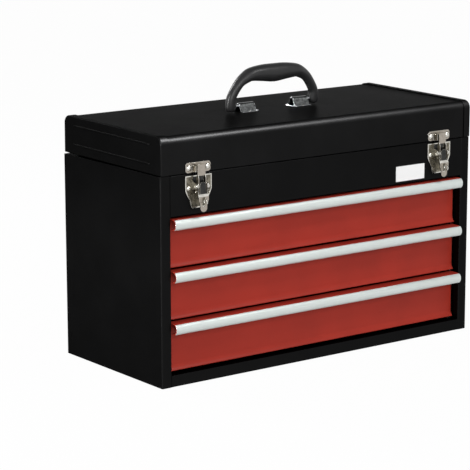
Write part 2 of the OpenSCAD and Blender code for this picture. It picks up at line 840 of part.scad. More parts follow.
// Claw: hooked plate with a window for the lever's tab, on two flanged legs
module latch_claw() {
    window_top = body_h - 2.5;
    leg_r = 2.4;
    leg_t = 1;
    along_x(-claw_w, claw_w) {
        patch([claw_face, window_top], [claw_face + latch_t, hook_z + latch_t]);
        patch([claw_face, hook_z], [tip_y, hook_z + latch_t]);
        patch([tip_y - latch_t, lip_top - hook_depth], [tip_y, hook_z + latch_t]);
    }
    both_sides() along_x(claw_w - leg_t, claw_w) difference() {
        union() {
            polygon([[claw_y - leg_r, claw_z], [claw_y - leg_r, window_top - 3],
                     [claw_face, window_top + 1.5], [claw_face + latch_t, window_top + 1.5],
                     [claw_y + leg_r, window_top - 3], [claw_y + leg_r, claw_z]]);
            translate([claw_y, claw_z]) circle(leg_r);
        }
        translate([claw_y, claw_z]) circle(claw_pin_r + pin_play);
    }
}

module latch_lever_right() {
    color("#c4c3bd") translate([latch_x, 0, 0]) latch_lever();
}

module latch_lever_left() {
    color("#c4c3bd") translate([-latch_x, 0, 0]) latch_lever();
}

module claw_pin_right() {
    color("#d2d1cb") translate([latch_x, 0, 0]) claw_pin();
}

module claw_pin_left() {
    color("#d2d1cb") translate([-latch_x, 0, 0]) claw_pin();
}

module latch_claw_right() {
    color("#c4c3bd") translate([latch_x, 0, 0]) latch_claw();
}

module latch_claw_left() {
    color("#c4c3bd") translate([-latch_x, 0, 0]) latch_claw();
}

// Rivets of the keepers on the lid's front, and of the handle brackets on its top
module lid_rivets() {
    color("#d2d1cb") on_lid() {
        at_latches() both_sides()
            translate([keeper_w - 4.8, plate_y, lid_z + keeper_h / 2]) rivet(keeper_rivet_r);
        both_sides() for (s = [-1, 1])
            translate([bracket_x + bracket_len / 2,
                       s * (bracket_y + saddle_y) / 2 - handle_front, lid_top + bracket_t])
                rotate([-90, 0, 0]) rivet((bracket_y - saddle_y) / 2 - 0.2);
    }
}

side_panel_left();
side_panel_right();
back_panel();
bottom_pan();
front_panel();
compartment_floor();
slide_posts();
slide_channels();
hinge_body_leaf();
hinge_pin();
latch_plates();
padlock_staples();
latch_pivots();
body_rivets();
lid_skin();
lid_cap_left();
lid_cap_right();
hinge_lid_leaf();
latch_keepers();
handle_brackets();
lid_rivets();
handle_grip();
handle_pins();
drawer_tray(1);  // drawer_tray_1
drawer_tray(2);  // drawer_tray_2
drawer_tray(3);  // drawer_tray_3
drawer_front(1);  // drawer_front_1
drawer_front(2);  // drawer_front_2
drawer_front(3);  // drawer_front_3
drawer_trim(1);  // drawer_trim_1
drawer_trim(2);  // drawer_trim_2
drawer_trim(3);  // drawer_trim_3
slide_rails(1);  // slide_rails_1
slide_rails(2);  // slide_rails_2
slide_rails(3);  // slide_rails_3
ball_cages(1);  // ball_cages_1
ball_cages(2);  // ball_cages_2
ball_cages(3);  // ball_cages_3
slide_balls(1);  // slide_balls_1
slide_balls(2);  // slide_balls_2
slide_balls(3);  // slide_balls_3
latch_lever_left();
latch_lever_right();
claw_pin_left();
claw_pin_right();
latch_claw_left();
latch_claw_right();
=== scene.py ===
"""Portable steel tool box: a hinged lid, three drawers with rolled pulls, two draw
latches and a folding handle, dressed for a studio picture.

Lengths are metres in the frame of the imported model: +X to the right, +Y to the back,
+Z up, origin in the middle of the underside."""

import json
import math

import bmesh
import bpy
from mathutils import Matrix, Vector

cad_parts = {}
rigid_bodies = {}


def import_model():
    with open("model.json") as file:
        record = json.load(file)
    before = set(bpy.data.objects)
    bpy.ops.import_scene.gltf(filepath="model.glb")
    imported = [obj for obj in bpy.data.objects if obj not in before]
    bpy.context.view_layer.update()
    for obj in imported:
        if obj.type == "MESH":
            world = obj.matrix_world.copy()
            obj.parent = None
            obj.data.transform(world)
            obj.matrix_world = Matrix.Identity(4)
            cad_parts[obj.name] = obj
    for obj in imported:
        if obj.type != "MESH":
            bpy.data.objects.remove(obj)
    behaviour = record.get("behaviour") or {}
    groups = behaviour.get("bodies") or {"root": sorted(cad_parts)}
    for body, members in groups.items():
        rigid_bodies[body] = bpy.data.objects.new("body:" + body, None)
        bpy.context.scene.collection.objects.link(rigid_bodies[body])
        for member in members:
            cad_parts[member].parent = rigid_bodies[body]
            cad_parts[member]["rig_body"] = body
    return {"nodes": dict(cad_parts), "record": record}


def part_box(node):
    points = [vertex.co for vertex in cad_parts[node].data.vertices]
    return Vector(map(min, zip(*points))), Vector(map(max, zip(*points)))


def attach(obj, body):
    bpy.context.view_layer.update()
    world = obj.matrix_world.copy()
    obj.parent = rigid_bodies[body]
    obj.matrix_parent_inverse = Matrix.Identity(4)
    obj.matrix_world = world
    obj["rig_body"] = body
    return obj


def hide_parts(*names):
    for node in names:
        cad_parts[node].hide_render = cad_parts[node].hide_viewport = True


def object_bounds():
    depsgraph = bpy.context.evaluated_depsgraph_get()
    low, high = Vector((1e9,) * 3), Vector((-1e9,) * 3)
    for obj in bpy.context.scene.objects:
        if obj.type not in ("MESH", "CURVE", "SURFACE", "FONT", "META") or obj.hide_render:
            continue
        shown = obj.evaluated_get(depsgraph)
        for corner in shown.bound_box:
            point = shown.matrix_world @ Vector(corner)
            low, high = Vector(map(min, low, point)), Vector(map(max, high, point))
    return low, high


bl_info = {
    "name": "Portable tool box",
    "version": (1, 0, 0),
    "blender": (4, 5, 0),
    "location": "View3D > Sidebar > Tool box",
    "description": "Dresses the packed model of a steel tool box and lights it",
    "category": "Object",
}

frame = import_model()
NODES = frame["nodes"]
CAD_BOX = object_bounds()
MM = 0.001
DRAWERS = (1, 2, 3)
SIDES = (("left", -1), ("right", 1))


# ---- shader maths -------------------------------------------------------------------


class Link:
    """An output socket on which Python's operators add Math nodes."""

    def __init__(self, shader, socket):
        self.shader = shader
        self.socket = socket

    def _math(self, operation, a, b):
        return self.shader.node("ShaderNodeMath", {"operation": operation}, {0: a, 1: b})

    def __add__(self, other):
        return self._math("ADD", self, other)

    def __rsub__(self, other):
        return self._math("SUBTRACT", other, self)

    def __mul__(self, other):
        return self._math("MULTIPLY", self, other)


# Sockets of a Mix node that mixes colours: its names are shared by other sockets.
MIX_SHARE, MIX_FIRST, MIX_SECOND, MIX_COLOUR = 0, 6, 7, 2


class Shader:
    """A material or world tree, filled through one method."""

    def __init__(self, owner):
        owner.use_nodes = True
        self.tree = owner.node_tree
        self.tree.nodes.clear()

    def node(self, kind, settings=None, sockets=None, output=0):
        """Adds a node: its settings first, then its sockets' values or links.

        It returns the output of a number or a name."""
        made = self.tree.nodes.new(kind)
        for name, value in (settings or {}).items():
            setattr(made, name, value)
        for key, value in (sockets or {}).items():
            self.plug(made.inputs[key], value)
        return Link(self, made.outputs[output])

    def plug(self, socket, value):
        """Links a socket, or sets the value that it holds."""
        if isinstance(value, Link):
            self.tree.links.new(value.socket, socket)
        else:
            socket.default_value = value

    def noise(self, where, scale, detail):
        """Soft noise from 0 to 1 at a scale in cycles per metre."""
        return self.node("ShaderNodeTexNoise", None,
                         {"Vector": where, "Scale": scale, "Detail": detail,
                          "Roughness": 0.55})

    def ramp(self, value, low, high, to_low=0.0, to_high=1.0):
        """Maps a value's range to another one, clamped and eased."""
        return self.node("ShaderNodeMapRange", {"interpolation_type": "SMOOTHSTEP"},
                         {"Value": value, "From Min": low, "From Max": high,
                          "To Min": to_low, "To Max": to_high})

    def mix(self, share, a, b):
        """Mixes two colours by a share from 0 to 1."""
        return self.node("ShaderNodeMix", {"data_type": "RGBA"},
                         {MIX_SHARE: share, MIX_FIRST: a, MIX_SECOND: b}, output=MIX_COLOUR)

    def stretched(self, scale):
        """Object coordinates scaled along each axis."""
        here = self.node("ShaderNodeTexCoord", output="Object")
        return self.node("ShaderNodeMapping", None, {"Vector": here, "Scale": scale})

    def bump(self, height, distance, below=None):
        """A Bump node's normal, over another one if it is given."""
        sockets = {"Height": height, "Distance": distance, "Strength": 1.0}
        if below is not None:
            sockets["Normal"] = below
        return self.node("ShaderNodeBump", None, sockets)

    def principled(self, sockets):
        """A Principled BSDF with these sockets."""
        return self.node("ShaderNodeBsdfPrincipled", None, sockets)

    def finish(self, surface, kind="ShaderNodeOutputMaterial"):
        """Ends the tree in its output node."""
        end = self.tree.nodes.new(kind)
        self.plug(end.inputs["Surface"], surface)


def linear(colour, gain=1.0):
    """An sRGB colour as linear RGBA."""
    parts = [c / 12.92 if c <= 0.04045 else ((c + 0.055) / 1.055) ** 2.4 for c in colour]
    return [p * gain for p in parts] + [1.0]


# ---- sizes, colours and lights that a user would change -------------------------------


class ToolBoxSizes(bpy.types.PropertyGroup):
    """Sizes of the rounded bends and of the small detail."""

    bend: bpy.props.FloatProperty(
        name="Bend radius", description="Outer radius where the sheet steel is folded",
        default=1.6 * MM, min=0.5 * MM, max=2 * MM, unit="LENGTH")
    burr: bpy.props.FloatProperty(
        name="Edge radius", description="Radius on the cut edges of the sheet steel",
        default=0.22 * MM, min=0.05 * MM, max=0.4 * MM, unit="LENGTH")
    plate_radius: bpy.props.FloatProperty(
        name="Plate edge radius", description="Radius on the edges of the stamped latches",
        default=0.28 * MM, min=0.05 * MM, max=0.4 * MM, unit="LENGTH")
    plate_w: bpy.props.FloatProperty(
        name="Plate width", description="Width of the bare plate on the front",
        default=50 * MM, min=20 * MM, max=80 * MM, unit="LENGTH")
    plate_h: bpy.props.FloatProperty(
        name="Plate height", description="Height of the bare plate on the front",
        default=20.5 * MM, min=10 * MM, max=28 * MM, unit="LENGTH")


class ToolBoxFinish(bpy.types.PropertyGroup):
    """Colours of the finishes, as they look in the picture."""

    black: bpy.props.FloatVectorProperty(
        name="Black paint", description="Colour of the cabinet and the lid",
        default=(0.086, 0.086, 0.087), min=0, max=1, subtype="COLOR_GAMMA")
    red: bpy.props.FloatVectorProperty(
        name="Red paint", description="Colour of the drawer fronts",
        default=(0.605, 0.18, 0.135), min=0, max=1, subtype="COLOR_GAMMA")
    trim: bpy.props.FloatVectorProperty(
        name="Trim strips", description="Colour of the bright strips on the pulls",
        default=(0.80, 0.825, 0.815), min=0, max=1, subtype="COLOR_GAMMA")
    zinc: bpy.props.FloatVectorProperty(
        name="Zinc", description="Colour of the plated slides",
        default=(0.70, 0.71, 0.72), min=0, max=1, subtype="COLOR_GAMMA")
    nickel: bpy.props.FloatVectorProperty(
        name="Nickel", description="Colour of the latches",
        default=(0.83, 0.82, 0.79), min=0, max=1, subtype="COLOR_GAMMA")
    # Satin nickel: a rougher satin finish whose colour is also darker than the nickel, as painted
    # shade and reflection on the latches' flat front faces.
    satin_painted_shade: bpy.props.FloatVectorProperty(
        name="Satin nickel with painted shade", description="Colour of the latches' flat front faces",
        default=(0.66, 0.63, 0.59), min=0, max=1, subtype="COLOR_GAMMA")
    # Dulled nickel: painted shade and reflection, a darker copy of the nickel on the latches'
    # sunk faces and side faces.
    dull_painted_shade: bpy.props.FloatVectorProperty(
        name="Dull nickel with painted shade", description="Colour of the latches' sunk faces",
        default=(0.52, 0.50, 0.45), min=0, max=1, subtype="COLOR_GAMMA")
    # Greyed chrome: painted dark reflection, a darker copy of the chrome with a strong mottle on
    # the brackets' saddles.
    chrome_painted_reflection: bpy.props.FloatVectorProperty(
        name="Chrome with painted reflection", description="Colour of the brackets' saddles",
        default=(0.55, 0.56, 0.56), min=0, max=1, subtype="COLOR_GAMMA")
    # Browned nickel: painted shade, a dark brown copy of the nickel on the side faces of the
    # keepers' raised bridges.
    brown_painted_shade: bpy.props.FloatVectorProperty(
        name="Brown painted shade on nickel", description="Nickel in the hollow of the latch's keeper",
        default=(0.27, 0.25, 0.215), min=0, max=1, subtype="COLOR_GAMMA")
    # Dark nickel: painted shade, a dark copy of the nickel on the levers' tabs and on the plates'
    # field behind each claw.
    dark_painted_shade: bpy.props.FloatVectorProperty(
        name="Dark nickel", description="Colour of the tab on each lever",
        default=(0.24, 0.24, 0.235), min=0, max=1, subtype="COLOR_GAMMA")
    chrome: bpy.props.FloatVectorProperty(
        name="Chrome", description="Colour of the handle's brackets",
        default=(0.88, 0.89, 0.90), min=0, max=1, subtype="COLOR_GAMMA")
    plastic: bpy.props.FloatVectorProperty(
        name="Grip", description="Colour of the moulded grip",
        default=(0.12, 0.12, 0.122), min=0, max=1, subtype="COLOR_GAMMA")
    label: bpy.props.FloatVectorProperty(
        name="Plate", description="Colour of the bare plate on the front",
        default=(0.93, 0.93, 0.93), min=0, max=1, subtype="COLOR_GAMMA")


class ToolBoxStudio(bpy.types.PropertyGroup):
    """Camera and lamps."""

    eye: bpy.props.FloatVectorProperty(
        name="Camera", description="Place of the camera",
        default=(-1.7092, -2.2212, 0.7375), subtype="TRANSLATION", unit="LENGTH")
    turn: bpy.props.FloatProperty(
        name="Turn", description="Angle of the camera to the right of the back",
        default=math.radians(36.59), subtype="ANGLE")
    dip: bpy.props.FloatProperty(
        name="Dip", description="Angle of the camera below the horizon",
        default=math.radians(11.92), subtype="ANGLE")
    roll: bpy.props.FloatProperty(
        name="Roll", description="Turn of the camera about its line of sight",
        default=math.radians(-0.142), subtype="ANGLE")
    lens: bpy.props.FloatProperty(
        name="Focal length", description="Focal length on a sensor 36 mm wide",
        default=163.4, min=1, unit="CAMERA")
    ambient: bpy.props.FloatProperty(
        name="Ambient", description="Strength of the soft light from all round",
        default=0.22, min=0)
    key: bpy.props.FloatProperty(
        name="Key", description="Power of the soft box above the front",
        default=10.0, min=0, unit="POWER")
    roll_light: bpy.props.FloatProperty(
        name="Lid", description="Power of the soft box that draws the lid's rolled edge",
        default=130.0, min=0, unit="POWER")
    fill: bpy.props.FloatProperty(
        name="Fill", description="Power of the wide soft box at the front",
        default=44.0, min=0, unit="POWER")
    strip: bpy.props.FloatProperty(
        name="Strip", description="Power of the narrow strip that draws the upright bends",
        default=38.0, min=0, unit="POWER")
    kicker: bpy.props.FloatProperty(
        name="Kicker", description="Power of the soft box high behind the left end",
        default=26.0, min=0, unit="POWER")
    side: bpy.props.FloatProperty(
        name="Side", description="Power of the low soft box at the left end",
        default=0.5, min=0, unit="POWER")


# ---- finishes ---------------------------------------------------------------------------


BLACK_COAT = {"reflect": 1.0, "gloss": 0.0, "edge": 0.12, "sheen": 0.034, "rough": 0.38}
RED_COAT = {"reflect": 0.0, "gloss": 0.16, "edge": 1.0, "sheen": 0.0, "rough": 0.42}


def powder_coat(name, colour, reflect, gloss, edge, sheen, rough, peel):
    """Satin powder coat: an even colour with faint clouds and fine orange peel.

    reflect is its metallic share, gloss its specular level, edge how much it reflects
    at a low angle, sheen the weight of the clear layer over it, and peel the depth of
    its orange peel."""
    mat = bpy.data.materials.new(name)
    s = Shader(mat)
    here = s.stretched((1, 1, 1))
    clouds = s.noise(here, 14, 4)
    skin = s.noise(here, 700, 2)
    grain = s.noise(here, 2600, 2)
    shade = s.mix(s.ramp(clouds, 0.3, 0.7), linear(colour, 0.93), linear(colour, 1.07))
    normal = s.bump(grain, 0.012 * MM * peel, below=s.bump(skin, 0.03 * MM * peel))
    s.finish(s.principled({
        "Base Color": shade, "Metallic": reflect, "Specular IOR Level": gloss,
        "Specular Tint": (edge, edge, edge, 1.0),
        "Coat Weight": sheen, "Coat Roughness": rough,
        "Roughness": s.ramp(skin * 0.6 + clouds * 0.4, 0.35, 0.65, rough - 0.04, rough + 0.04),
        "Normal": normal}))
    return mat


def plated(name, colour, rough, grain=(1, 1, 1), scale=300.0, depth=0.01, stain_and_painted_mottle=0.12,
           cloud=55.0, share=1.0):
    """Plated metal with a fine directional grain, and stains of one size and depth.

    grain stretches the lines of a scale, depth is their height in millimetres, the argument
    after depth how dark the stains are, cloud their scale, and share the metallic share. The
    strong stains of the latches' darker copies and of the brackets' saddles are also a
    painted mottled reflection."""
    mat = bpy.data.materials.new(name)
    s = Shader(mat)
    here = s.stretched((1, 1, 1))
    lines = s.noise(s.stretched(grain), scale, 4)
    clouds = s.noise(here, cloud, 4)
    shade = s.mix(s.ramp(clouds, 0.35, 0.7), linear(colour), linear(colour, 1.0 - stain_and_painted_mottle))
    s.finish(s.principled({
        "Base Color": shade, "Metallic": share,
        "Roughness": s.ramp(lines * 0.6 + clouds * 0.4, 0.3, 0.7, rough * 0.75, rough * 1.3),
        "Normal": s.bump(lines, depth * MM)}))
    return mat


def moulded(name, colour):
    """Satin moulded plastic with a fine spark-eroded grain."""
    mat = bpy.data.materials.new(name)
    s = Shader(mat)
    here = s.stretched((1, 1, 1))
    grain = s.noise(here, 1900, 2)
    clouds = s.noise(here, 60, 3)
    s.finish(s.principled({
        "Base Color": s.mix(s.ramp(clouds, 0.3, 0.7), linear(colour, 0.94), linear(colour, 1.06)),
        "Specular IOR Level": 0.3,
        "Roughness": s.ramp(clouds, 0.3, 0.7, 0.36, 0.44),
        "Normal": s.bump(grain, 0.02 * MM)}))
    return mat


def bare_card(name, colour):
    """Bare white plate with a soft, slightly uneven gloss."""
    mat = bpy.data.materials.new(name)
    s = Shader(mat)
    fibre = s.noise(s.stretched((1, 1, 3)), 900, 3)
    s.finish(s.principled({
        "Base Color": s.mix(s.ramp(fibre, 0.3, 0.7), linear(colour, 0.98), linear(colour)),
        "Roughness": s.ramp(fibre, 0.3, 0.7, 0.42, 0.5),
        "Normal": s.bump(fibre, 0.008 * MM)}))
    return mat


def make_finishes(look):
    """One material for each slot of the record, those of shaded faces, and the plate's.

    Those of shaded faces are darker copies of the nickel and the chrome that paint shade and
    reflection on chosen faces.
    """
    return {
        "black_paint": powder_coat("black_powder_coat", look.black, peel=1.0, **BLACK_COAT),
        "red_paint": powder_coat("red_powder_coat", look.red, peel=0.7, **RED_COAT),
        "bright_trim": plated("anodised_strip", look.trim, 0.5, (0.02, 1, 1), 900, 0.006, 0.03,
                              share=0.8),
        "trim_edge": plated("burnished_strip", look.trim, 0.3, (0.02, 1, 1), 900, 0.004, 0.02),
        "zinc_steel": plated("zinc_plate", look.zinc, 0.3, (1, 0.05, 1), 700, 0.01, 0.2),
        "hinge_steel": powder_coat("hinge_paint", look.black, peel=0.5, **BLACK_COAT),
        "pin_steel": plated("drawn_steel", look.zinc, 0.22, (0.05, 1, 1), 900, 0.006, 0.1),
        "latch_nickel": plated("tumbled_nickel", look.nickel, 0.2, (1, 1, 0.4), 500, 0.012, 0.2,
                               cloud=160),
        # The satin, dull, brown and dark nickel are darker copies that paint shade and reflection
        # on the latches; the satin one is also a rougher finish.
        "latch_satin_painted_shade": plated("satin_nickel", look.satin_painted_shade, 0.32, (1, 1, 0.2), 900, 0.02, 0.18,
                              cloud=220),
        "latch_dull_painted_shade": plated("dulled_nickel", look.dull_painted_shade, 0.3, (1, 1, 0.5), 420, 0.03, 0.62,
                             cloud=210),
        "latch_shade": plated("browned_nickel", look.brown_painted_shade, 0.5, (1, 1, 0.5), 420, 0.03, 0.5),
        "latch_dark_painted_shade": plated("shaded_nickel", look.dark_painted_shade, 0.34, (1, 1, 0.4), 500, 0.02, 0.3,
                             cloud=200),
        "bracket_chrome": plated("chrome_plate", look.chrome, 0.12, (1, 1, 1), 260, 0.008, 0.1),
        # The saddles' chrome is a darker, strongly mottled copy: painted dark reflection.
        "bracket_painted_reflection": plated("dulled_chrome", look.chrome_painted_reflection, 0.2, (1, 1, 1), 300, 0.03, 0.85,
                               cloud=330),
        "grip_plastic": moulded("moulded_grip", look.plastic),
        "plate": bare_card("bare_plate", look.label),
    }


FINISHES = {}


def finish_of(slot_name):
    """The material of a slot, made the first time that one is asked for."""
    if not FINISHES:
        FINISHES.update(make_finishes(bpy.context.scene.tool_box_finish))
    return FINISHES[slot_name]


# ---- modelling tools ----------------------------------------------------------------

SLOT_OF = {row["node"]: row["material_slot"] for row in frame["record"]["subparts"]}
MERGE = 0.004 * MM
FLAT = math.radians(1.0)
SMOOTH = math.radians(38)
SHARP = math.radians(50)
BEND_STEPS = 4


def copy_of(node):
    """A node's mesh with its loose triangles merged and its flat faces made whole."""
    bm = bmesh.new()
    bm.from_mesh(NODES[node].data)
    bmesh.ops.remove_doubles(bm, verts=bm.verts, dist=MERGE)
    bmesh.ops.dissolve_limit(bm, angle_limit=FLAT, verts=bm.verts, edges=bm.edges)
    return bm


def is_sharp(edge, angle=SHARP):
    """True for an edge between two faces that meet at a sharp angle."""
    return len(edge.link_faces) == 2 and edge.calc_face_angle(0.0) > angle


def is_near(value, target, reach=0.05 * MM):
    """True for two places that agree."""
    return abs(value - target) < reach


def ease(bm, radius, segments=2, wanted=is_sharp):
    """Rounds the wanted edges and returns the faces that this makes."""
    edges = [edge for edge in bm.edges if wanted(edge)]
    if not edges:
        return []
    return bmesh.ops.bevel(bm, geom=edges, offset=radius, offset_type="OFFSET",
                           segments=segments, profile=0.5, affect="EDGES",
                           clamp_overlap=True, material=-1)["faces"]


def runs_along(edge, axis):
    """True for an edge parallel to an axis, 0 for X to 2 for Z."""
    way = (edge.verts[1].co - edge.verts[0].co).normalized()
    return abs(way[axis]) > 0.999


def bend_at(axis, first, second):
    """A test for the sharp edges along an axis that pass through a point across it."""
    across = [k for k in (0, 1, 2) if k != axis]

    def wanted(edge):
        at = edge.verts[0].co
        return (runs_along(edge, axis) and is_sharp(edge)
                and is_near(at[across[0]], first) and is_near(at[across[1]], second))

    return wanted


def add_piece(bm, name, body, slot_name, replaced=(), finishes=()):
    """Turns a bmesh into a piece that rides on a body and may stand for CAD nodes."""
    mesh = bpy.data.meshes.new(name)
    bm.to_mesh(mesh)
    bm.free()
    for face in mesh.polygons:
        face.use_smooth = True
    mesh.set_sharp_from_angle(angle=SMOOTH)
    for finish in finishes or (slot_name,):
        mesh.materials.append(finish_of(finish))
    made = bpy.data.objects.new(name, mesh)
    bpy.context.scene.collection.objects.link(made)
    level = made.modifiers.new("level_normals", "WEIGHTED_NORMAL")
    level.keep_sharp = True
    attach(made, body)
    if replaced:
        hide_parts(*replaced)
    return made


def finished_node(node, radius=0.0, bends=(), tone=None, finishes=(), cut=None):
    """Copies a CAD node, rounds its bends and then its edges, and puts it in its place.

    cut divides faces before that. tone gives a face's number among the finishes; rounded
    edges take the first one."""
    bm = copy_of(node)
    if cut:
        cut(bm)
    if tone:
        for face in bm.faces:
            face.material_index = tone(face)
    for wanted, bend_radius in bends:
        ease(bm, bend_radius, BEND_STEPS, wanted)
    if radius:
        for face in ease(bm, radius):
            face.material_index = 0
    return add_piece(bm, node + "_finished", NODES[node]["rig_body"], SLOT_OF[node], (node,),
                     finishes)


def faces_front(face, y=None):
    """True for a face that looks to the front, and lies at a depth if one is given."""
    return (face.normal.y < -0.95
            and (y is None or is_near(face.calc_center_median().y, y, 0.12 * MM)))


def faces_side(face):
    """True for a face that looks to the left or the right."""
    return abs(face.normal.x) > 0.9


# ---- cabinet ------------------------------------------------------------------------


PLATE_T = 0.4 * MM
PLATE_CORNER = 0.8 * MM
PLATE_BURR = 0.1 * MM
PLATE_X, PLATE_Z = 149.5 * MM, 230.4 * MM


class TOOLBOX_OT_cabinet(bpy.types.Operator):
    """Folded steel panels of the cabinet, with rounded bends"""

    bl_idname = "toolbox.cabinet"
    bl_label = "Cabinet"

    def execute(self, context):
        sizes = context.scene.tool_box_sizes
        for side, sign in SIDES:
            node = "side_panel_" + side
            low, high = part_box(node)
            outer = high.x if sign > 0 else low.x
            inner = low.x if sign > 0 else high.x
            finished_node(node, sizes.burr, [
                (bend_at(2, outer, low.y), sizes.bend),
                (bend_at(2, inner, low.y), sizes.bend)])
        low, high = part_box("front_panel")
        finished_node("front_panel", sizes.burr, [
            (bend_at(0, low.y, low.z), sizes.bend), (bend_at(0, low.y, high.z), sizes.bend)])
        low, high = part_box("bottom_pan")
        finished_node("bottom_pan", sizes.burr, [
            (bend_at(0, low.y, low.z), sizes.bend)])
        for node in ("back_panel", "compartment_floor", "slide_posts", "slide_channels"):
            finished_node(node, sizes.burr)
        return {"FINISHED"}


class TOOLBOX_OT_plate(bpy.types.Operator):
    """Bare white plate on the panel above the drawers"""

    bl_idname = "toolbox.plate"
    bl_label = "Plate"

    def execute(self, context):
        sizes = context.scene.tool_box_sizes
        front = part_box("front_panel")[0].y
        bm = bmesh.new()
        bmesh.ops.create_cube(bm, size=1.0)
        bmesh.ops.scale(bm, vec=(sizes.plate_w, PLATE_T, sizes.plate_h), verts=bm.verts)
        bmesh.ops.translate(bm, vec=(PLATE_X, front - PLATE_T / 2, PLATE_Z), verts=bm.verts)
        ease(bm, PLATE_CORNER, BEND_STEPS, lambda edge: runs_along(edge, 1))
        ease(bm, PLATE_BURR)
        add_piece(bm, "front_plate", NODES["front_panel"]["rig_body"], None,
                  finishes=("plate",))
        return {"FINISHED"}


class TOOLBOX_OT_hinge(bpy.types.Operator):
    """Piano hinge at the back: two leaves and the pin"""

    bl_idname = "toolbox.hinge"
    bl_label = "Hinge"

    def execute(self, context):
        for node in ("hinge_body_leaf", "hinge_lid_leaf", "hinge_pin"):
            finished_node(node, context.scene.tool_box_sizes.burr)
        return {"FINISHED"}


# ---- lid ----------------------------------------------------------------------------


CAP_X = 255 * MM


def on_cap_rim(edge):
    """True for an edge of an end cap's outer face that isn't at the foot of a rib."""
    return all(any(abs(face.normal.x) < 0.05 for face in v.link_faces) for v in edge.verts)


class TOOLBOX_OT_lid(bpy.types.Operator):
    """Rolled lid skin with its two ribbed end caps"""

    bl_idname = "toolbox.lid"
    bl_label = "Lid"

    def execute(self, context):
        sizes = context.scene.tool_box_sizes
        finished_node("lid_skin", sizes.burr)
        for side, sign in SIDES:
            node = "lid_cap_" + side
            outer = sign * CAP_X
            finished_node(node, sizes.burr, [
                (lambda edge: is_sharp(edge, SMOOTH) and all(
                    is_near(v.co.x, outer) for v in edge.verts) and on_cap_rim(edge),
                 sizes.bend)])
        return {"FINISHED"}


# ---- handle -------------------------------------------------------------------------


SADDLE_Z = 321.5 * MM


def bracket_tone(face):
    """0 for the flanges and cut edges, 1 for the saddle.

    The saddle takes a darker, strongly mottled copy of the chrome as painted dark reflection.
    """
    return int(abs(face.normal.x) < 0.2 and face.calc_center_median().z > SADDLE_Z)


class TOOLBOX_OT_handle(bpy.types.Operator):
    """Moulded grip, its pins and the stamped brackets"""

    bl_idname = "toolbox.handle"
    bl_label = "Handle"

    def execute(self, context):
        sizes = context.scene.tool_box_sizes
        finished_node("handle_grip")
        for node in ("handle_pins", "lid_rivets"):
            finished_node(node, sizes.burr)
        finished_node("handle_brackets", sizes.plate_radius, tone=bracket_tone,
                      finishes=("bracket_chrome", "bracket_painted_reflection"))
        return {"FINISHED"}


# ---- latches ------------------------------------------------------------------------


# Depths of the front faces of the plates' field, the levers' tab and the levers' end.
PLATE_Y = -111 * MM
LEVER_Y = -121.4 * MM
STEP_Y = -122.9 * MM
# Half the width and the foot of the patch of painted shade behind each claw.
CLAW_SHADE_X = 8 * MM
CLAW_SHADE_Z = 252 * MM
LATCH_X = 199 * MM
# The plain nickel goes on rounded edges and bright faces; the satin, dull, dark and brown copies
# are darker, painted as shade and reflection on chosen faces.
LATCH_FINISHES = ("latch_nickel", "latch_satin_painted_shade", "latch_dull_painted_shade", "latch_dark_painted_shade", "latch_shade")
BRIGHT, SATIN_PAINTED_SHADE, DULL_PAINTED_SHADE, DARK_PAINTED_SHADE, SHADE = range(5)


def plate_tone(face):
    """Dull nickel on the sunk field and dark nickel behind the claw, as painted shade.

    Both are darker copies of the nickel that paint shade and reflection; the rest keeps the plain
    nickel.
    """
    if not faces_front(face, PLATE_Y):
        return BRIGHT
    middle = face.calc_center_median()
    behind = abs(abs(middle.x) - LATCH_X) < CLAW_SHADE_X and middle.z > CLAW_SHADE_Z
    return DARK_PAINTED_SHADE if behind else DULL_PAINTED_SHADE


def cut_claw_shade(bm):
    """Cuts the plate's field where the painted shade behind the claw begins."""
    cuts = [(0, side * (LATCH_X + reach)) for side in (-1, 1)
            for reach in (-CLAW_SHADE_X, CLAW_SHADE_X)] + [(2, CLAW_SHADE_Z)]
    for axis, place in cuts:
        field = [face for face in bm.faces if faces_front(face, PLATE_Y)]
        normal = Vector((axis == 0, 0, axis == 2))
        bmesh.ops.bisect_plane(
            bm, geom=list({part for face in field
                           for part in (face, *face.edges, *face.verts)}),
            plane_co=normal * place, plane_no=normal)


def lever_tone(face):
    """Dark nickel on the tab, satin on the stepped end and dull on the cheeks.

    All three are darker copies of the nickel that paint shade and reflection; the satin one is
    also a rougher finish.
    """
    if faces_front(face, LEVER_Y):
        return DARK_PAINTED_SHADE
    if faces_front(face, STEP_Y):
        return SATIN_PAINTED_SHADE
    return DULL_PAINTED_SHADE if faces_side(face) else BRIGHT


def claw_tone(face):
    """Satin nickel on the claw's front and dull nickel on its sides.

    Both are darker copies of the nickel that paint shade and reflection; the satin one is also a
    rougher finish.
    """
    if faces_front(face):
        return SATIN_PAINTED_SHADE
    return DULL_PAINTED_SHADE if faces_side(face) else BRIGHT


def keeper_tone(face):
    """Satin nickel on the keeper's flat and brown on the sides of its raised bridge.

    The brown is painted shade; the satin is a rougher finish darkened as painted reflection.
    """
    if faces_front(face):
        return SATIN_PAINTED_SHADE
    return SHADE if faces_side(face) else BRIGHT


